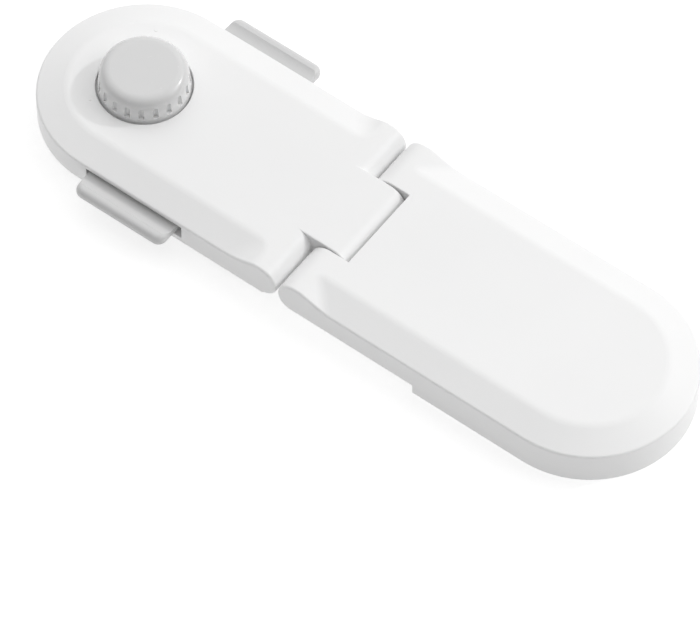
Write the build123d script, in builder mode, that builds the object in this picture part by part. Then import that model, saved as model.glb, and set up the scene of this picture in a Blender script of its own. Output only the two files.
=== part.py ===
from build123d import *
import math
import os

os.makedirs("parts", exist_ok=True)

# A two-leaf cabinet lock, lying open and flat.
# X runs along the lock, the hinge axis is parallel to Y at X = 0, Z = 0 is the
# plane of the adhesive pads.  The latch half is on -X, the anchor half on +X.
# All sizes in millimetres.

# ---------------------------------------------------------------- driving sizes
half_w = 20.0                 # half of the body width
top_z = 9.2                   # flat top of both halves
bevel_w, bevel_drop = 5.7, 1.85
rim_z = top_z - bevel_drop    # lower edge of the bevel
plateau = half_w - bevel_w    # half width of the flat top
crease_r = 4.0                # soft crease between flat top and bevel
wall_top_r = 0.5              # rounding along the top of the side walls
wall = 1.6                    # moulded wall
edge_r = 0.25                 # general edge rounding

axis_z = 5.6                  # hinge axis height
hinge_r = 3.6                 # round nose of the tongue
ear_z, ear_r = 5.2, 4.0       # round nose of the ears, cut flat at the underside
ear_foot_r = 3.0              # its lower corner, which the shoulders swing past
tongue_half = 8.85            # tongue half width
notch_half = 9.15             # notch half width
notch_x = 4.0                 # back wall of the notch

latch_end_x = -49.6           # centre of the latch half's round end and of the knob
latch_bottom_z = 2.3
shoulder_x, shoulder_z, shoulder_r = -7.90, 5.70, 3.50
latch_ramp = (-13.4, -9.5)    # foot and top of the bevel's run-out
latch_valley_r = 8.0

anchor_end_x = 50.35          # centre of the anchor half's round end
anchor_thin_z = 2.0           # underside of the thin part
anchor_foot_z = 0.15          # rim of the foot
step_x = 26.2                 # where the thin part steps down to the foot
anchor_ramp = (6.8, 1.1)
anchor_valley_r = 4.0

cavity_z = 6.7                # roof of the outer cavity
cavity_top_z = 7.6            # roof of the inner cavity
cavity_inset = 6.0
latch_cavity_x = -9.6
anchor_cavity_x = 6.5

# side buttons
slot_x = (-47.6, -25.7)
slot_z = (3.5, 6.75)          # a rail stays below each slot
tab_x = (-47.3, -26.95)
tab_tip_x = (-47.1, -26.95)   # the tab narrows a little towards its outer edge
tab_corner_r = 1.8
tab_out = 24.65
tab_z = (4.0, 6.4)
tab_round_top, tab_round_under = 1.15, 1.0   # nearly full-round outer edge
scoop_r, scoop_y, scoop_z = 6.0, 20.2, 5.75  # finger scoop in the tab's top
button_mid_x = -36.65
button_travel = 2.2

# knob
well_r, well_floor_z, well_under_z = 9.05, 7.9, 6.9
knob_hole_r = 3.75
knob_boss_r = 3.6
knob_rim_z = 8.1
knob_skirt_r, knob_waist_r, knob_waist_z, knob_top_z = 8.68, 8.35, 12.15, 14.35
knob_edge_r = 2.2
knob_inner_r, knob_hollow_z = 7.1, 12.6
flute_count, flute_r, flute_ring = 20, 0.52, 8.45
flute_z = (10.0, 12.1)        # the flutes stop above a plain base ring and end in a half ball
flute_phase = 16.3
cam_z = (5.3, 6.6)
cam_long, cam_wide = 9.0, 6.3
hub_r, hub_z = 4.6, 3.7

# plates, screws, pads
plate_fit = 0.15
latch_plate_z = (2.3, 3.5)
latch_screw_at = [(-61.5, 8.0), (-61.5, -8.0), (-15.5, 13.5), (-15.5, -13.5)]
anchor_screw_thin = [(12.5, 12.0), (12.5, -12.0)]
anchor_screw_foot = [(52.0, 10.5), (52.0, -10.5)]
boss_r, pilot_r = 2.5, 0.85
screw_r, screw_head_r = 1.0, 1.85
pin_r = 1.5
pin_y = (-17.4, 17.0)

# drawer plate and its catch
drawer_plate_z = (1.0, 2.1)
drawer_plate_end_x = -12.0
post_x, post_y = 4.0, (11.0, 13.0)
post_top_z = 6.2
wire_r, wire_y, wire_z = 0.4, 11.35, 4.9


# ---------------------------------------------------------------- shared outlines
def bevel_points(z0, half=False):
    """Cross-section of a half: flat top, shallow bevels, vertical walls."""
    side = [(half_w, z0), (half_w, rim_z), (plateau, top_z)]
    if half:
        return [(0, z0)] + side + [(0, top_z)]
    return side + [(-plateau, top_z), (-half_w, rim_z), (-half_w, z0)]


def d_outline(end_x, radius, flat_x):
    """Half-round end joined to a straight part: to be called inside a sketch."""
    with Locations((end_x, 0)):
        Circle(radius)
    with Locations(((end_x + flat_x) / 2, 0)):
        Rectangle(abs(end_x - flat_x), 2 * radius)


def near_wall(p, end_x, sign):
    """True where a point lies on the outer side wall."""
    if (p.X - end_x) * sign <= 1e-3:
        return abs(abs(p.Y) - half_w) < 2e-3
    return abs(math.hypot(p.X - end_x, p.Y) - half_w) < 2e-3


def cross_recess(x, y, z, size=1.0, depth=0.55):
    """Cross-shaped tool for a screw head's recess, from height z upwards."""
    with BuildPart() as cross:
        with BuildSketch(Plane.XY.offset(z - 0.5)):
            with Locations((x, y)):
                Rectangle(2 * size, 0.4)
                Rectangle(0.4, 2 * size)
        extrude(amount=depth + 0.5)
    return cross.part


# ================================================================ latch half
latch_end = Plane(origin=(latch_end_x, 0, 0), x_dir=(0, 1, 0), z_dir=(1, 0, 0))

with BuildPart() as latch_cover:
    # bevelled round end
    with BuildSketch(latch_end):
        with BuildLine():
            Polyline(*bevel_points(latch_bottom_z, True), close=True)
        make_face()
    revolve(axis=Axis((latch_end_x, 0, 0), (0, 0, 1)), revolution_arc=180)
    # bevelled straight part
    with BuildSketch(latch_end):
        with BuildLine():
            Polyline(*bevel_points(latch_bottom_z), close=True)
        make_face()
    extrude(amount=latch_ramp[1] - latch_end_x)
    # run-out of the bevel up to full height, then the round-nosed shoulders
    with BuildSketch(Plane.XZ):
        with BuildLine():
            Polyline(
                (latch_ramp[0], rim_z),
                (latch_ramp[1], top_z),
                (shoulder_x, top_z),
                (shoulder_x, latch_bottom_z),
                (latch_ramp[0], latch_bottom_z),
                close=True,
            )
        make_face()
        with Locations((shoulder_x, shoulder_z)):
            Circle(shoulder_r)
        with Locations((shoulder_x, latch_bottom_z - 1)):
            Rectangle(8, 2, mode=Mode.SUBTRACT)
    extrude(amount=half_w, both=True)

    # the concave corner between bevel and run-out is a large soft radius
    valley = latch_cover.edges().filter_by(
        lambda e: latch_ramp[0] < e.center().X < latch_ramp[1]
        and rim_z < e.center().Z < top_z
        and abs(abs(e.center().Y) - (plateau + half_w) / 2) < 0.6
    )
    fillet(valley, latch_valley_r)
    creases = latch_cover.edges().filter_by(
        lambda e: all(abs((e @ t).Z - top_z) < 1e-3 for t in (0, 0.5, 1))
        and not all(abs(abs((e @ t).Y) - half_w) < 1e-3 for t in (0, 1))
        and max((e @ 0).X, (e @ 1).X) < shoulder_x - 0.1
    )
    fillet(creases, crease_r)
    wall_top = latch_cover.edges().filter_by(
        lambda e: all(near_wall(e @ t, latch_end_x, -1) for t in (0, 0.5, 1))
        and (e.center().Z > rim_z - 0.1 or e.center().X > shoulder_x + 1)
    )
    fillet(wall_top, wall_top_r)

    # tongue between the ears
    with BuildSketch(Plane.XZ):
        with BuildLine():
            Polyline(
                (shoulder_x, axis_z - hinge_r),
                (shoulder_x, top_z),
                (0, top_z),
                (0, axis_z - hinge_r),
                close=True,
            )
        make_face()
        with Locations((0, axis_z)):
            Circle(hinge_r)
    extrude(amount=tongue_half, both=True)
    tongue_edges = latch_cover.edges().filter_by(
        lambda e: all(abs(abs((e @ t).Y) - tongue_half) < 1e-3 for t in (0, 0.5, 1))
        and max((e @ 0).X, (e @ 1).X) > -0.5
        and e.center().Z > axis_z - hinge_r + 0.1
    )
    fillet(tongue_edges, edge_r)

    # cavity, open below, in two depths that follow the bevel
    with BuildSketch(Plane.XY.offset(latch_bottom_z - 1)):
        d_outline(latch_end_x, half_w - wall, latch_cavity_x)
    extrude(amount=cavity_z - latch_bottom_z + 1, mode=Mode.SUBTRACT)
    with BuildSketch(Plane.XY.offset(cavity_z - 0.5)):
        d_outline(latch_end_x, half_w - cavity_inset, latch_cavity_x - 3.5)
        with Locations((latch_end_x, 0)):
            Circle(well_r + wall, mode=Mode.SUBTRACT)
    extrude(amount=cavity_top_z - cavity_z + 0.5, mode=Mode.SUBTRACT)
    with BuildSketch(Plane.XY.offset(cavity_z - 0.5)):
        with Locations((latch_end_x, 0)):
            Circle(well_r + wall)
    extrude(amount=well_under_z - cavity_z + 0.5, mode=Mode.SUBTRACT)

    # round well for the knob and the bearing hole in its floor
    with BuildSketch(Plane.XY.offset(well_floor_z)):
        with Locations((latch_end_x, 0)):
            Circle(well_r)
    extrude(amount=3, mode=Mode.SUBTRACT)
    with BuildSketch(Plane.XY.offset(well_under_z - 1)):
        with Locations((latch_end_x, 0)):
            Circle(knob_hole_r)
    extrude(amount=3, mode=Mode.SUBTRACT)
    well_lip = latch_cover.edges().filter_by(GeomType.CIRCLE).filter_by(
        lambda e: abs(e.radius - well_r) < 1e-3 and abs(e.center().Z - top_z) < 1e-3
    )
    fillet(well_lip, 0.2)

    # slots for the side buttons, closed below by a rail
    for side in (-1, 1):
        with BuildSketch(Plane.XZ.offset(-side * (half_w - 3))):
            with Locations((sum(slot_x) / 2, sum(slot_z) / 2)):
                Rectangle(slot_x[1] - slot_x[0], slot_z[1] - slot_z[0])
        extrude(amount=-side * 5, mode=Mode.SUBTRACT)

    # screw bosses hanging from the roof
    with BuildSketch(Plane.XY.offset(latch_plate_z[1])):
        with Locations(*latch_screw_at):
            Circle(boss_r)
    extrude(amount=cavity_top_z - latch_plate_z[1] + 0.3)
    with BuildSketch(Plane.XY.offset(latch_plate_z[1] - 0.5)):
        with Locations(*latch_screw_at):
            Circle(pilot_r)
    extrude(amount=4.3, mode=Mode.SUBTRACT)

    # two small raised index marks beside the knob
    with BuildSketch(Plane.XY.offset(top_z - 0.1)):
        with Locations((latch_end_x - 6.2, 11.5)):
            SlotOverall(1.6, 0.8, rotation=126)
        with Locations((latch_end_x - 6.1, -8.4)):
            SlotOverall(1.3, 0.5, rotation=126)
    extrude(amount=0.17)

    # running bore of the hinge pin through the tongue
    with BuildSketch(Plane.XZ):
        with Locations((0, axis_z)):
            Circle(pin_r + 0.06)
    extrude(amount=half_w, both=True, mode=Mode.SUBTRACT)

# plate that closes the latch half, with everything that carries the mechanism
with BuildPart() as latch_bottom_plate:
    with BuildSketch(Plane.XY.offset(latch_plate_z[0])):
        d_outline(latch_end_x, half_w - wall - plate_fit, latch_cavity_x - plate_fit)
    extrude(amount=latch_plate_z[1] - latch_plate_z[0])
    for side in (-1, 1):
        # channel that lets the button slide in
        with BuildSketch(Plane.XY.offset(3.5)):
            with Locations((button_mid_x, side * 17.0)):
                Rectangle(tab_x[1] - tab_x[0] + 0.8, 3.4)
        extrude(amount=1, mode=Mode.SUBTRACT)
        # window for the drawer plate's post
        with BuildSketch(Plane.XY.offset(latch_plate_z[0] - 1)):
            with Locations((button_mid_x, side * sum(post_y) / 2)):
                Rectangle(post_x + 0.7, post_y[1] - post_y[0] + 0.7)
        extrude(amount=3, mode=Mode.SUBTRACT)
        # block that grips the catch wire
        with BuildSketch(Plane.XY.offset(latch_plate_z[1])):
            with Locations((-23.0, side * 7.5)):
                Rectangle(4.0, 3.2)
        extrude(amount=2.2)
        with BuildSketch(Plane.XY.offset(wire_z - wire_r - 0.04)):
            with Locations((-23.0, side * 7.5)):
                Rectangle(2 * wire_r + 0.08, 4.0)
        extrude(amount=2, mode=Mode.SUBTRACT)
        # block that grips one end of the detent strip
        with BuildSketch(Plane.XY.offset(latch_plate_z[1])):
            with Locations((-44.55, side * 6.4)):
                Rectangle(2.1, 1.6)
        extrude(amount=1.5)
        with BuildSketch(Plane.XY.offset(latch_plate_z[1] + 0.15)):
            with Locations((-44.575, side * 6.1)):
                Rectangle(0.35, 1.6)
        extrude(amount=2, mode=Mode.SUBTRACT)
    # countersunk screw holes
    with Locations(*[(x, y, latch_plate_z[0]) for x, y in latch_screw_at]):
        with Locations(Rotation(180, 0, 0)):
            CounterSinkHole(radius=1.1, counter_sink_radius=2.0, depth=2)



def make_screw(z, length):
    """Countersunk screw on the Z axis, its head's flat face at height z, pointing up."""
    recess = cross_recess(0, 0, z)
    with BuildPart() as screw:
        with BuildSketch(Plane.XZ):
            with BuildLine():
                Polyline(
                    (0, z), (screw_head_r, z), (screw_head_r, z + 0.1),
                    (screw_r, z + 0.96), (screw_r, z + length - 0.8), (0, z + length),
                    close=True,
                )
            make_face()
        revolve(axis=Axis.Z)
        add(recess, mode=Mode.SUBTRACT)
    return screw.part


# small countersunk screws, heads down
latch_screw = make_screw(latch_plate_z[0] + 0.02, 4.9)
with BuildPart() as latch_screws:
    with Locations(*latch_screw_at):
        add(latch_screw)


# ================================================================ side buttons
def make_button(side):
    """Push tab outside, flange behind the wall, fork round the post, arm beside the cam."""
    with BuildPart() as button:
        with BuildSketch(Plane.XY.offset(tab_z[0])):
            with BuildLine():
                Polyline(
                    (tab_x[0], side * 17.9),
                    (tab_x[0], side * half_w),
                    (tab_tip_x[0], side * tab_out),
                    (tab_tip_x[1], side * tab_out),
                    (tab_x[1], side * half_w),
                    (tab_x[1], side * 17.9),
                    close=True,
                )
            make_face()
        extrude(amount=tab_z[1] - tab_z[0])
        outer_corners = button.edges().filter_by(Axis.Z).filter_by(
            lambda e: abs(e.center().Y) > tab_out - 0.1
        )
        fillet(outer_corners, tab_corner_r)
        rounded = button.faces().sort_by(Axis.Z)[-1].edges().filter_by(
            lambda e: abs(e.center().Y) > 18.5
        )
        fillet(rounded, tab_round_top)
        rounded = button.faces().sort_by(Axis.Z)[0].edges().filter_by(
            lambda e: abs(e.center().Y) > 18.5
        )
        fillet(rounded, tab_round_under)
        with BuildSketch(Plane.YZ.offset(-60)) as scoop:
            with Locations((side * scoop_y, scoop_z + scoop_r)):
                Circle(scoop_r)
            with Locations((side * (18.4 - 5), scoop_z)):
                Rectangle(10, 8, mode=Mode.SUBTRACT)
        extrude(amount=45, mode=Mode.SUBTRACT)
        with BuildSketch(Plane.XY.offset(3.7)):
            # flange that stops the button against the inside of the wall
            with Locations((-36.55, side * 16.85)):
                Rectangle(24.7, 2.5)
            # fork that straddles the post and pushes the wire
            with Locations((-39.95, side * 13.8), (-33.35, side * 13.8)):
                Rectangle(1.8, 4.0)
            # arm that the cam's lobe blocks
            with Locations((-47.55, side * 12.7)):
                Rectangle(2.7, 6.8)
            with Locations((-49.6, side * 10.55)):
                Rectangle(6.8, 2.5)
        extrude(amount=2.5)
    return button.part


button_near = make_button(-1)
button_far = make_button(1)

# ================================================================ knob
with BuildPart() as knob_cap:
    with BuildSketch(Plane(origin=(latch_end_x, 0, 0), x_dir=(1, 0, 0), z_dir=(0, -1, 0))) as cap_profile:
        top_r = knob_waist_r - (knob_skirt_r - knob_waist_r) / (knob_waist_z - top_z) * (
            knob_top_z - knob_waist_z
        )
        with BuildLine():
            Polyline(
                (0, knob_rim_z),
                (knob_skirt_r, knob_rim_z),
                (knob_skirt_r, top_z),
                (top_r, knob_top_z),
                (0, knob_top_z),
                close=True,
            )
        make_face()
        fillet(cap_profile.vertices().sort_by(Axis.Y)[-2:].sort_by(Axis.X)[-1], knob_edge_r)
    revolve(axis=Axis((latch_end_x, 0, 0), (0, 0, 1)))
    # grip flutes with rounded upper ends
    with BuildSketch(Plane.XY.offset(flute_z[0])):
        with Locations((latch_end_x, 0)):
            with PolarLocations(flute_ring, flute_count, start_angle=flute_phase):
                Circle(flute_r)
    extrude(amount=flute_z[1] - flute_z[0], mode=Mode.SUBTRACT)
    with Locations((latch_end_x, 0, flute_z[1])):
        with PolarLocations(flute_ring, flute_count, start_angle=flute_phase):
            Sphere(flute_r, mode=Mode.SUBTRACT)
    # hollow underside with a central boss, ending in a square key
    with BuildSketch(Plane.XY.offset(knob_rim_z - 1)):
        with Locations((latch_end_x, 0)):
            Circle(knob_inner_r)
            Circle(knob_boss_r, mode=Mode.SUBTRACT)
    extrude(amount=knob_hollow_z - knob_rim_z + 1, mode=Mode.SUBTRACT)
    with BuildSketch(Plane.XY.offset(cam_z[1])):
        with Locations((latch_end_x, 0)):
            Circle(knob_boss_r)
    extrude(amount=knob_rim_z - cam_z[1] + 0.2)
    with BuildSketch(Plane.XY.offset(5.85)):
        with Locations((latch_end_x, 0)):
            Rectangle(5.0, 5.0)
    extrude(amount=cam_z[1] - 5.85 + 0.2)
    with BuildSketch(Plane.XY.offset(5)):
        with Locations((latch_end_x, 0)):
            Circle(pilot_r)
    extrude(amount=5.5, mode=Mode.SUBTRACT)

with BuildPart() as knob_cam:
    # oblong lobe plate
    with BuildSketch(Plane.XY.offset(cam_z[0])):
        with Locations((latch_end_x, 0)):
            Ellipse(cam_long, cam_wide)
    extrude(amount=cam_z[1] - cam_z[0])
    # round hub with two detent notches a quarter turn apart
    with BuildSketch(Plane.XY.offset(hub_z)):
        with Locations((latch_end_x, 0)):
            Circle(hub_r)
        with Locations((latch_end_x + 5.25, 0), (latch_end_x, 5.25)):
            Circle(1.1, mode=Mode.SUBTRACT)
    extrude(amount=cam_z[0] - hub_z)
    with BuildSketch(Plane.XY.offset(5.75)):
        with Locations((latch_end_x, 0)):
            Rectangle(5.1, 5.1)
    extrude(amount=2, mode=Mode.SUBTRACT)
    with BuildSketch(Plane.XY.offset(hub_z - 1)):
        with Locations((latch_end_x, 0)):
            Circle(2.6)
    extrude(amount=4.9 - hub_z + 1, mode=Mode.SUBTRACT)
    with BuildSketch(Plane.XY.offset(4.5)):
        with Locations((latch_end_x, 0)):
            Circle(1.1)
    extrude(amount=2, mode=Mode.SUBTRACT)

with BuildPart() as knob_washer:
    with BuildSketch(Plane.XY.offset(4.6)):
        with Locations((latch_end_x, 0)):
            Circle(2.4)
            Circle(1.08, mode=Mode.SUBTRACT)
    extrude(amount=0.3)

knob_recess = cross_recess(latch_end_x, 0, 3.8, size=1.0, depth=0.45)
with BuildPart() as knob_screw:
    with BuildSketch(Plane.XY.offset(3.8)):
        with Locations((latch_end_x, 0)):
            Circle(2.0)
    extrude(amount=0.8)
    fillet(knob_screw.edges().sort_by(Axis.Z)[0], 0.35)
    with BuildSketch(Plane.XY.offset(4.5)):
        with Locations((latch_end_x, 0)):
            Circle(screw_r)
    extrude(amount=5.3)
    chamfer(knob_screw.edges().sort_by(Axis.Z)[-1], 0.4)
    add(knob_recess, mode=Mode.SUBTRACT)

# bent strip: a nib in the middle rests in the hub's notch
with BuildPart() as detent_spring:
    strip, nib, thick = -44.7, -45.2, 0.25
    with BuildSketch(Plane.XY.offset(latch_plate_z[1] + 0.2)):
        with BuildLine():
            Polyline(
                (strip, -6.8), (strip, -1.05), (nib, -0.35), (nib, 0.35), (strip, 1.05), (strip, 6.8),
                (strip + thick, 6.8), (strip + thick, 1.15), (nib + thick, 0.3), (nib + thick, -0.3),
                (strip + thick, -1.15), (strip + thick, -6.8),
                close=True,
            )
        make_face()
    extrude(amount=1.25)


# ================================================================ catch wires and drawer plate
def make_catch(side):
    """Round wire: a long leg through the post's notch, a short leg gripped in its block."""
    with BuildPart() as catch:
        with BuildLine():
            FilletPolyline(
                (-42.2, side * wire_y, wire_z),
                (-23.0, side * wire_y, wire_z),
                (-23.0, side * 6.2, wire_z),
                radius=2.0,
            )
        with BuildSketch(Plane(origin=(-42.2, side * wire_y, wire_z), x_dir=(0, 1, 0), z_dir=(1, 0, 0))):
            Circle(wire_r)
        sweep()
    return catch.part


catch_spring_near = make_catch(-1)
catch_spring_far = make_catch(1)

with BuildPart() as drawer_plate:
    with BuildSketch(Plane.XY.offset(drawer_plate_z[0])):
        d_outline(latch_end_x, half_w - wall - plate_fit, drawer_plate_end_x)
    extrude(amount=drawer_plate_z[1] - drawer_plate_z[0])
    fillet(
        drawer_plate.edges().filter_by(Axis.Z).filter_by(lambda e: e.center().X > drawer_plate_end_x - 0.1),
        2.0,
    )
    # two posts, notched on their inner side, with a lead-in at the top
    for side in (-1, 1):
        with BuildSketch(Plane.YZ.offset(button_mid_x - post_x / 2)):
            with BuildLine():
                Polyline(
                    (side * post_y[0], drawer_plate_z[1] - 0.5),
                    (side * post_y[1], drawer_plate_z[1] - 0.5),
                    (side * post_y[1], post_top_z),
                    (side * (post_y[0] + 1.0), post_top_z),
                    (side * post_y[0], post_top_z - 0.8),
                    (side * post_y[0], wire_z + 0.48),
                    (side * (post_y[0] + 0.82), wire_z + 0.48),
                    (side * (post_y[0] + 0.82), wire_z - 0.48),
                    (side * post_y[0], wire_z - 0.48),
                    close=True,
                )
            make_face()
        extrude(amount=post_x)

with BuildPart() as drawer_pad:
    with BuildSketch(Plane.XY):
        d_outline(latch_end_x, half_w - wall - plate_fit - 0.5, drawer_plate_end_x - 0.5)
    extrude(amount=drawer_plate_z[0])
    fillet(
        drawer_pad.edges().filter_by(Axis.Z).filter_by(lambda e: e.center().X > drawer_plate_end_x - 0.6),
        1.6,
    )

# ================================================================ anchor half
anchor_end = Plane(origin=(anchor_end_x, 0, 0), x_dir=(0, 1, 0), z_dir=(1, 0, 0))

with BuildPart() as anchor_cover:
    # bevelled round end and foot
    with BuildSketch(anchor_end):
        with BuildLine():
            Polyline(*bevel_points(anchor_foot_z, True), close=True)
        make_face()
    revolve(axis=Axis((anchor_end_x, 0, 0), (0, 0, -1)), revolution_arc=180)
    with BuildSketch(Plane(origin=(step_x, 0, 0), x_dir=(0, 1, 0), z_dir=(1, 0, 0))):
        with BuildLine():
            Polyline(*bevel_points(anchor_foot_z), close=True)
        make_face()
    extrude(amount=anchor_end_x - step_x)
    # thin part
    with BuildSketch(Plane(origin=(anchor_ramp[1], 0, 0), x_dir=(0, 1, 0), z_dir=(1, 0, 0))):
        with BuildLine():
            Polyline(*bevel_points(anchor_thin_z), close=True)
        make_face()
    extrude(amount=step_x - anchor_ramp[1])
    # run-out of the bevel and the round-nosed hinge block
    with BuildSketch(Plane.XZ) as hinge_block:
        with BuildLine():
            Polyline(
                (anchor_ramp[0], rim_z),
                (anchor_ramp[1], top_z),
                (0, top_z),
                (0, anchor_thin_z),
                (anchor_ramp[0], anchor_thin_z),
                close=True,
            )
        make_face()
        with Locations((0, ear_z)):
            Circle(ear_r)
        with Locations((0, anchor_thin_z - 1)):
            Rectangle(10, 2, mode=Mode.SUBTRACT)
        fillet(hinge_block.vertices().filter_by(lambda q: q.X < -1 and q.Y < ear_z), ear_foot_r)
    extrude(amount=half_w, both=True)

    valley = anchor_cover.edges().filter_by(
        lambda e: anchor_ramp[1] < e.center().X < anchor_ramp[0]
        and rim_z < e.center().Z < top_z
        and abs(abs(e.center().Y) - (plateau + half_w) / 2) < 0.6
    )
    fillet(valley, anchor_valley_r)
    creases = anchor_cover.edges().filter_by(
        lambda e: all(abs((e @ t).Z - top_z) < 1e-3 for t in (0, 0.5, 1))
        and not all(abs(abs((e @ t).Y) - half_w) < 1e-3 for t in (0, 1))
        and min((e @ 0).X, (e @ 1).X) > 0.5
    )
    fillet(creases, crease_r)
    wall_top = anchor_cover.edges().filter_by(
        lambda e: all(near_wall(e @ t, anchor_end_x, 1) for t in (0, 0.5, 1))
        and e.center().Z > rim_z - 0.1
    )
    fillet(wall_top, wall_top_r)

    # notch for the tongue, which leaves the two ears
    with BuildSketch(Plane.XY):
        with Locations((notch_x - 5, 0)):
            Rectangle(10, 2 * notch_half)
    extrude(amount=top_z + 2, mode=Mode.SUBTRACT)
    ear_edges = anchor_cover.edges().filter_by(
        lambda e: all(abs(abs((e @ t).Y) - notch_half) < 1e-3 for t in (0, 0.5, 1))
        and e.center().Z > axis_z
        and min((e @ 0).X, (e @ 1).X) < 0.5
    )
    fillet(ear_edges, edge_r)

    # cavity, open below
    with BuildSketch(Plane.XY.offset(-1)):
        d_outline(anchor_end_x, half_w - wall, anchor_cavity_x)
    extrude(amount=cavity_z + 1, mode=Mode.SUBTRACT)
    with BuildSketch(Plane.XY.offset(cavity_z - 0.5)):
        d_outline(anchor_end_x, half_w - cavity_inset, anchor_cavity_x + 1.5)
    extrude(amount=cavity_top_z - cavity_z + 0.5, mode=Mode.SUBTRACT)

    # screw bosses
    with BuildSketch(Plane.XY.offset(3.2)):
        with Locations(*anchor_screw_thin):
            Circle(boss_r)
    extrude(amount=cavity_top_z - 3.2 + 0.3)
    with BuildSketch(Plane.XY.offset(2.6)):
        with Locations(*anchor_screw_foot):
            Circle(boss_r)
    extrude(amount=cavity_top_z - 2.6 + 0.3)
    with BuildSketch(Plane.XY.offset(2.0)):
        with Locations(*anchor_screw_thin, *anchor_screw_foot):
            Circle(pilot_r)
    extrude(amount=5.6, mode=Mode.SUBTRACT)
    # stiffening ribs between the bosses
    with BuildSketch(Plane.XY.offset(3.3)):
        with Locations((35.0, 0)):
            Rectangle(1.2, 2 * (half_w - wall) + 0.4)
        with Locations((20.0, 0)):
            Rectangle(1.2, 2 * (half_w - wall) + 0.4)
    extrude(amount=4.0)

    # bore of the hinge pin: blind in the near ear, counterbored in the far wall
    with BuildSketch(Plane.XZ.offset(-pin_y[0])):
        with Locations((0, axis_z)):
            Circle(pin_r - 0.01)
    extrude(amount=-(half_w + 1 - pin_y[0]), mode=Mode.SUBTRACT)
    with BuildSketch(Plane.XZ.offset(-pin_y[1])):
        with Locations((0, axis_z)):
            Circle(2.1)
    extrude(amount=-5, mode=Mode.SUBTRACT)

with BuildPart() as anchor_base_plate:
    with BuildSketch(Plane.XY.offset(anchor_thin_z)):
        with Locations(((anchor_cavity_x + plate_fit + step_x + 1.5) / 2, 0)):
            Rectangle(step_x + 1.5 - anchor_cavity_x - plate_fit, 2 * (half_w - wall - plate_fit))
    extrude(amount=1.2)
    with BuildSketch(Plane.XY.offset(1.1)):
        d_outline(anchor_end_x, half_w - wall - plate_fit, step_x)
    extrude(amount=1.5)
    with BuildSketch(Plane.XY.offset(anchor_foot_z)):
        with Locations((step_x + 0.75, 0)):
            Rectangle(1.5, 2 * (half_w - wall - plate_fit))
    extrude(amount=1.5)
    with Locations(*[(x, y, anchor_thin_z) for x, y in anchor_screw_thin]):
        with Locations(Rotation(180, 0, 0)):
            CounterSinkHole(radius=1.1, counter_sink_radius=2.0, depth=2)
    with Locations(*[(x, y, 1.1) for x, y in anchor_screw_foot]):
        with Locations(Rotation(180, 0, 0)):
            CounterSinkHole(radius=1.1, counter_sink_radius=2.0, depth=2)


thin_screw = make_screw(anchor_thin_z + 0.02, 5.1)
foot_screw = make_screw(1.12, 6.0)
with BuildPart() as anchor_screws:
    with Locations(*anchor_screw_thin):
        add(thin_screw)
    with Locations(*anchor_screw_foot):
        add(foot_screw)

with BuildPart() as anchor_pad:
    with BuildSketch(Plane.XY):
        d_outline(anchor_end_x, half_w - wall - plate_fit - 0.35, step_x + 1.9)
    extrude(amount=1.1)
    fillet(
        anchor_pad.edges().filter_by(Axis.Z).filter_by(lambda e: e.center().X < step_x + 2.0),
        1.6,
    )

with BuildPart() as hinge_pin:
    with BuildSketch(Plane.XZ.offset(-pin_y[0])):
        with Locations((0, axis_z)):
            Circle(pin_r)
    extrude(amount=-(pin_y[1] - pin_y[0]))
    chamfer(hinge_pin.edges().filter_by(GeomType.CIRCLE), 0.3)

with BuildPart() as hinge_pin_plug:
    with BuildSketch(Plane.XZ.offset(-pin_y[1] - 0.05)):
        with Locations((0, axis_z)):
            Circle(2.08)
    extrude(amount=-(half_w - pin_y[1] - 0.1))
    fillet(hinge_pin_plug.edges().sort_by(Axis.Y)[-1], 0.3)

# ---------------------------------------------------------------- write the pieces
pieces = {
    "latch_cover": latch_cover.part,
    "latch_bottom_plate": latch_bottom_plate.part,
    "latch_screws": latch_screws.part,
    "button_near": button_near,
    "button_far": button_far,
    "knob_cap": knob_cap.part,
    "knob_cam": knob_cam.part,
    "knob_washer": knob_washer.part,
    "knob_screw": knob_screw.part,
    "detent_spring": detent_spring.part,
    "catch_spring_near": catch_spring_near,
    "catch_spring_far": catch_spring_far,
    "drawer_plate": drawer_plate.part,
    "drawer_pad": drawer_pad.part,
    "anchor_cover": anchor_cover.part,
    "anchor_base_plate": anchor_base_plate.part,
    "anchor_screws": anchor_screws.part,
    "anchor_pad": anchor_pad.part,
    "hinge_pin": hinge_pin.part,
    "hinge_pin_plug": hinge_pin_plug.part,
}
for name, piece in pieces.items():
    piece.label = name
    export_step(piece, f"parts/{name}.step")
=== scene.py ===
import math

import bpy
from mathutils import Matrix, Vector


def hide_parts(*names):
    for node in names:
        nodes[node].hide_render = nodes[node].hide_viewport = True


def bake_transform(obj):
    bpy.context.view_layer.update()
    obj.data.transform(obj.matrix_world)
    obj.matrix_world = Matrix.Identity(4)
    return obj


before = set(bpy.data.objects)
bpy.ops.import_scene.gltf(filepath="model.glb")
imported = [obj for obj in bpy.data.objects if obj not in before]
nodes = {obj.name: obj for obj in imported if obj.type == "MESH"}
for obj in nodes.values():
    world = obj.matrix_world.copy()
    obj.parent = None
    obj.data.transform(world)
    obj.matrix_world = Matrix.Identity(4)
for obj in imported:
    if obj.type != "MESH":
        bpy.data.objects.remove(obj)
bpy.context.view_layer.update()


# ------------------------------------------------------------------ materials
def new_material(name):
    m = bpy.data.materials.new(name)
    m.use_nodes = True
    t = m.node_tree
    t.nodes.clear()
    out = t.nodes.new("ShaderNodeOutputMaterial")
    bsdf = t.nodes.new("ShaderNodeBsdfPrincipled")
    t.links.new(bsdf.outputs["BSDF"], out.inputs["Surface"])
    coord = t.nodes.new("ShaderNodeTexCoord")
    return m, t, bsdf, coord


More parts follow.
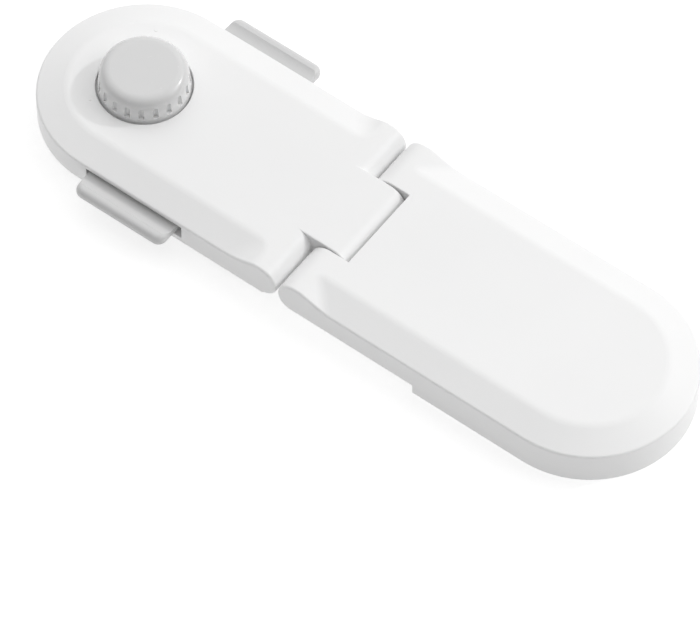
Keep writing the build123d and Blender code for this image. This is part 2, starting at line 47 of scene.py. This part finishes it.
def noise(t, coord, scale, detail=3.0, rough=0.55, stretch=None):
    """Noise in the row frame, in metres; scale is in features per metre."""
    n = t.nodes.new("ShaderNodeTexNoise")
    n.inputs["Scale"].default_value = scale
    n.inputs["Detail"].default_value = detail
    n.inputs["Roughness"].default_value = rough
    if stretch:
        mp = t.nodes.new("ShaderNodeMapping")
        mp.inputs["Scale"].default_value = stretch
        t.links.new(coord.outputs["Object"], mp.inputs["Vector"])
        t.links.new(mp.outputs["Vector"], n.inputs["Vector"])
    else:
        t.links.new(coord.outputs["Object"], n.inputs["Vector"])
    return n


def spread(t, source, lo, hi, a=0.3, b=0.7):
    """Maps a 0..1 factor from a..b to lo..hi."""
    r = t.nodes.new("ShaderNodeMapRange")
    r.inputs["From Min"].default_value = a
    r.inputs["From Max"].default_value = b
    r.inputs["To Min"].default_value = lo
    r.inputs["To Max"].default_value = hi
    t.links.new(source, r.inputs["Value"])
    return r.outputs["Result"]


def tint(t, factor, low, high):
    """Colour between two close shades."""
    m = t.nodes.new("ShaderNodeMix")
    m.data_type = "RGBA"
    m.inputs["A"].default_value = (*low, 1)
    m.inputs["B"].default_value = (*high, 1)
    t.links.new(factor, m.inputs["Factor"])
    return m.outputs["Result"]


def bump(t, bsdf, layers):
    """Stacks bump layers: (height output, distance in metres, strength)."""
    last = None
    for height, distance, strength in layers:
        b = t.nodes.new("ShaderNodeBump")
        b.inputs["Distance"].default_value = distance
        b.inputs["Strength"].default_value = strength
        t.links.new(height, b.inputs["Height"])
        if last:
            t.links.new(last, b.inputs["Normal"])
        last = b.outputs["Normal"]
    t.links.new(last, bsdf.inputs["Normal"])


def moulded_plastic(name, shade, spread_by, rough, grain, grain_depth, sss=0.0, wave=0.00003, coat=0.0, uneven=0.05):
    """Injection-moulded plastic: faint tone drift, fine spark-eroded grain, slight surface waviness."""
    m, t, bsdf, coord = new_material(name)
    drift = noise(t, coord, 38, 2.0)
    fine = noise(t, coord, grain, 2.0, 0.6)
    broad = noise(t, coord, 170, 2.0)
    mid = noise(t, coord, 900, 3.0)
    low = tuple(c - spread_by for c in shade)
    high = tuple(min(1.0, c + spread_by) for c in shade)
    t.links.new(tint(t, spread(t, drift.outputs["Fac"], 0, 1), low, high), bsdf.inputs["Base Color"])
    t.links.new(spread(t, mid.outputs["Fac"], rough - uneven, rough + uneven), bsdf.inputs["Roughness"])
    bsdf.inputs["IOR"].default_value = 1.49
    bsdf.inputs["Subsurface Weight"].default_value = sss
    bsdf.inputs["Subsurface Radius"].default_value = (1.0, 0.95, 0.9)
    bsdf.inputs["Subsurface Scale"].default_value = 0.0009
    bsdf.inputs["Coat Weight"].default_value = coat
    bsdf.inputs["Coat Roughness"].default_value = 0.12
    bump(t, bsdf, [
        (broad.outputs["Fac"], wave, 0.5),
        (fine.outputs["Fac"], grain_depth, 0.6),
    ])
    return m


def metal(name, shade, rough, scratch, stretch):
    m, t, bsdf, coord = new_material(name)
    streak = noise(t, coord, scratch, 4.0, 0.65, stretch)
    drift = noise(t, coord, 220, 2.0)
    low = tuple(c * 0.86 for c in shade)
    t.links.new(tint(t, spread(t, drift.outputs["Fac"], 0, 1), low, shade), bsdf.inputs["Base Color"])
    bsdf.inputs["Metallic"].default_value = 1.0
    t.links.new(spread(t, streak.outputs["Fac"], rough - 0.08, rough + 0.12), bsdf.inputs["Roughness"])
    bump(t, bsdf, [(streak.outputs["Fac"], 0.00001, 0.4)])
    return m


def foam(name):
    m, t, bsdf, coord = new_material(name)
    cells = t.nodes.new("ShaderNodeTexVoronoi")
    cells.inputs["Scale"].default_value = 3600
    t.links.new(coord.outputs["Object"], cells.inputs["Vector"])
    drift = noise(t, coord, 120, 3.0)
    t.links.new(
        tint(t, spread(t, drift.outputs["Fac"], 0, 1), (0.70, 0.70, 0.69), (0.80, 0.80, 0.79)),
        bsdf.inputs["Base Color"],
    )
    bsdf.inputs["Roughness"].default_value = 0.85
    bump(t, bsdf, [(cells.outputs["Distance"], 0.00008, 0.7)])
    return m


white_shell = moulded_plastic("white_shell", (0.84, 0.84, 0.84), 0.008, 0.40, 5200, 0.000010, sss=0.06)
white_plate = moulded_plastic("white_plate", (0.80, 0.80, 0.795), 0.010, 0.52, 4200, 0.000016)
knob_grey = moulded_plastic(
    "knob_grey", (0.65, 0.65, 0.65), 0.003, 0.27, 6000, 0.0000003, sss=0.20, wave=0.000001, coat=0.15, uneven=0.004
)
# painted light: the knob's thin skirt is painted lighter than its thick crown, standing in for the light it lets
# through
t = knob_grey.node_tree
bsdf = next(n for n in t.nodes if n.type == "BSDF_PRINCIPLED")
coord = next(n for n in t.nodes if n.type == "TEX_COORD")
crown = bsdf.inputs["Base Color"].links[0].from_socket
place = t.nodes.new("ShaderNodeSeparateXYZ")
t.links.new(coord.outputs["Object"], place.inputs["Vector"])
# painted light: lighter base colour below 11.2 mm, fading into the crown colour by 13.8 mm
skirt_painted_light = tint(t, spread(t, place.outputs["Z"], 0, 1, 0.0112, 0.0138), (0.84, 0.84, 0.84), (0, 0, 0))
t.links.new(crown, skirt_painted_light.node.inputs["B"])
t.links.new(skirt_painted_light, bsdf.inputs["Base Color"])

tab_grey = moulded_plastic("tab_grey", (0.62, 0.62, 0.62), 0.005, 0.40, 5200, 0.000008, sss=0.06)
plated = metal("plated_steel", (0.66, 0.66, 0.67), 0.32, 900, (1, 1, 6))
spring_wire = metal("spring_steel", (0.58, 0.58, 0.60), 0.24, 1400, (0.3, 3, 3))
pad_foam = foam("pad_foam")

finish_of = {
    "latch_cover": white_shell, "anchor_cover": white_shell, "hinge_pin_plug": white_shell,
    "latch_bottom_plate": white_plate, "anchor_base_plate": white_plate,
    "drawer_plate": white_plate, "knob_cam": white_plate,
    "knob_cap": knob_grey, "button_near": tab_grey, "button_far": tab_grey,
    "latch_screws": plated, "anchor_screws": plated, "knob_screw": plated,
    "knob_washer": plated, "hinge_pin": plated,
    "detent_spring": spring_wire, "catch_spring_near": spring_wire, "catch_spring_far": spring_wire,
    "drawer_pad": pad_foam, "anchor_pad": pad_foam,
}
for name, obj in nodes.items():
    obj.data.materials.clear()
    obj.data.materials.append(finish_of[name])


# ------------------------------------------------------------------ catch wires
def catch_wire(name, side):
    """Round wire: a long gripped leg, a quarter bend and a short free leg that points inward."""
    r, y, z, bend = 0.0004, side * 0.01135, 0.0049, 0.002
    path = [(-0.0422 + 0.0172 * i / 60, y, z) for i in range(60)]
    for i in range(17):
        a = math.pi / 2 * i / 16
        path.append((-0.025 + bend * math.sin(a), side * (0.00935 + bend * math.cos(a)), z))
    path += [(-0.023, side * (0.00935 - 0.00315 * i / 8), z) for i in range(1, 9)]
    path = [Vector(q) for q in path]
    sides = 20
    verts, faces = [], []
    for i, q in enumerate(path):
        along = (path[min(i + 1, len(path) - 1)] - path[max(i - 1, 0)]).normalized()
        across = along.cross(Vector((0, 0, 1)))
        for k in range(sides):
            a = 2 * math.pi * k / sides
            verts.append(q + across * (r * math.cos(a)) + Vector((0, 0, r * math.sin(a))))
    for i in range(len(path) - 1):
        for k in range(sides):
            n = (k + 1) % sides
            faces.append((i * sides + k, i * sides + n, (i + 1) * sides + n, (i + 1) * sides + k))
    last = (len(path) - 1) * sides
    faces.append(tuple(reversed(range(sides))))
    faces.append(tuple(last + k for k in range(sides)))
    mesh = bpy.data.meshes.new(name)
    mesh.from_pydata(verts, [], faces)
    for face in mesh.polygons:
        face.use_smooth = len(face.vertices) == 4
    mesh.materials.append(spring_wire)
    mesh.validate()
    wire = bpy.data.objects.new(name, mesh)
    bpy.context.scene.collection.objects.link(wire)
    return wire


for where, side in (("near", -1), ("far", 1)):
    wire = catch_wire("catch_wire_" + where, side)
    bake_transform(wire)
    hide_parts("catch_spring_" + where)

# ------------------------------------------------------------------ floor
floor_mesh = bpy.data.meshes.new("floor")
s = 3.0
floor_mesh.from_pydata([(-s, -s, -0.0001), (s, -s, -0.0001), (s, s, -0.0001), (-s, s, -0.0001)], [], [(0, 1, 2, 3)])
floor = bpy.data.objects.new("floor", floor_mesh)
bpy.context.scene.collection.objects.link(floor)
m, t, bsdf, coord = new_material("floor_white")
drift = noise(t, coord, 3, 2.0)
t.links.new(tint(t, spread(t, drift.outputs["Fac"], 0, 1), (0.44, 0.44, 0.44), (0.46, 0.46, 0.46)), bsdf.inputs["Base Color"])
bsdf.inputs["Roughness"].default_value = 0.8
bsdf.inputs["Specular IOR Level"].default_value = 0.1
bsdf.inputs["Emission Color"].default_value = (1, 1, 1, 1)
bsdf.inputs["Emission Strength"].default_value = 0.66
floor_mesh.materials.append(m)

# ------------------------------------------------------------------ light
world = bpy.data.worlds.new("soft_box")
bpy.context.scene.world = world
world.use_nodes = True
wt = world.node_tree
wt.nodes.clear()
w_out = wt.nodes.new("ShaderNodeOutputWorld")
w_bg = wt.nodes.new("ShaderNodeBackground")
w_co = wt.nodes.new("ShaderNodeTexCoord")
w_dot = wt.nodes.new("ShaderNodeVectorMath")
w_dot.operation = "DOT_PRODUCT"
w_dot.inputs[1].default_value = (-0.37, 0.50, 1.73)
w_add = wt.nodes.new("ShaderNodeMath")
w_add.operation = "ADD"
w_add.inputs[1].default_value = -0.14
# a dark flag on the near side
w_near = wt.nodes.new("ShaderNodeVectorMath")
w_near.operation = "DOT_PRODUCT"
w_near.inputs[1].default_value = (0.0, -1.0, 0.0)
w_face = wt.nodes.new("ShaderNodeMath")
w_face.operation = "MAXIMUM"
w_face.inputs[1].default_value = 0.0
w_pow = wt.nodes.new("ShaderNodeMath")
w_pow.operation = "POWER"
w_pow.inputs[1].default_value = 3.0
w_flag = wt.nodes.new("ShaderNodeMath")
w_flag.operation = "MULTIPLY_ADD"
w_flag.inputs[1].default_value = -0.40
w_max = wt.nodes.new("ShaderNodeMath")
w_max.operation = "MAXIMUM"
w_max.inputs[1].default_value = 0.03
wt.links.new(w_co.outputs["Generated"], w_dot.inputs[0])
wt.links.new(w_dot.outputs["Value"], w_add.inputs[0])
wt.links.new(w_co.outputs["Generated"], w_near.inputs[0])
wt.links.new(w_near.outputs["Value"], w_face.inputs[0])
wt.links.new(w_face.outputs["Value"], w_pow.inputs[0])
wt.links.new(w_pow.outputs["Value"], w_flag.inputs[0])
wt.links.new(w_add.outputs["Value"], w_flag.inputs[2])
wt.links.new(w_flag.outputs["Value"], w_max.inputs[0])
wt.links.new(w_max.outputs["Value"], w_bg.inputs["Strength"])
wt.links.new(w_bg.outputs["Background"], w_out.inputs["Surface"])

key_az, key_el = math.radians(54.0), math.radians(36.5)
key_from = Vector((math.cos(key_az) * math.cos(key_el), math.sin(key_az) * math.cos(key_el), math.sin(key_el)))
key = bpy.data.lights.new("key", "SUN")
key.energy = 0.66
key.angle = math.radians(4.0)
key_obj = bpy.data.objects.new("key", key)
key_obj.rotation_euler = key_from.to_track_quat("Z", "Y").to_euler()
bpy.context.scene.collection.objects.link(key_obj)

# a small soft box to the right, so the light falls off along the lock
box = bpy.data.lights.new("box", "AREA")
box.energy = 0.36
box.size = 0.25
box_obj = bpy.data.objects.new("box", box)
box_obj.location = (0.30, 0.20, 0.30)
box_obj.rotation_euler = Vector((0.30, 0.20, 0.29)).to_track_quat("Z", "Y").to_euler()
bpy.context.scene.collection.objects.link(box_obj)

# ------------------------------------------------------------------ camera
target = Vector((0.011018, -0.018211, 0.0092))
az, el, dist = math.radians(36.50), math.radians(56.00), 1.0062
back = Vector((math.sin(az) * math.cos(el), -math.cos(az) * math.cos(el), math.sin(el)))
right = Vector((0, 0, 1)).cross(back).normalized()
up = back.cross(right)
cam = bpy.data.cameras.new("camera")
cam.sensor_fit = "HORIZONTAL"
cam.sensor_width = 36.0
cam.lens = 5646.0 / 700.0 * 36.0
cam.clip_start = 0.05
cam.clip_end = 20.0
cam_obj = bpy.data.objects.new("camera", cam)
turn = Matrix((right, up, back)).transposed().to_4x4()
cam_obj.matrix_world = (
    Matrix.Translation(target + back * dist) @ turn @ Matrix.Rotation(math.radians(0.334), 4, "Z")
)
bpy.context.scene.collection.objects.link(cam_obj)
bpy.context.scene.camera = cam_obj
bpy.context.scene.view_settings.view_transform = "Standard"
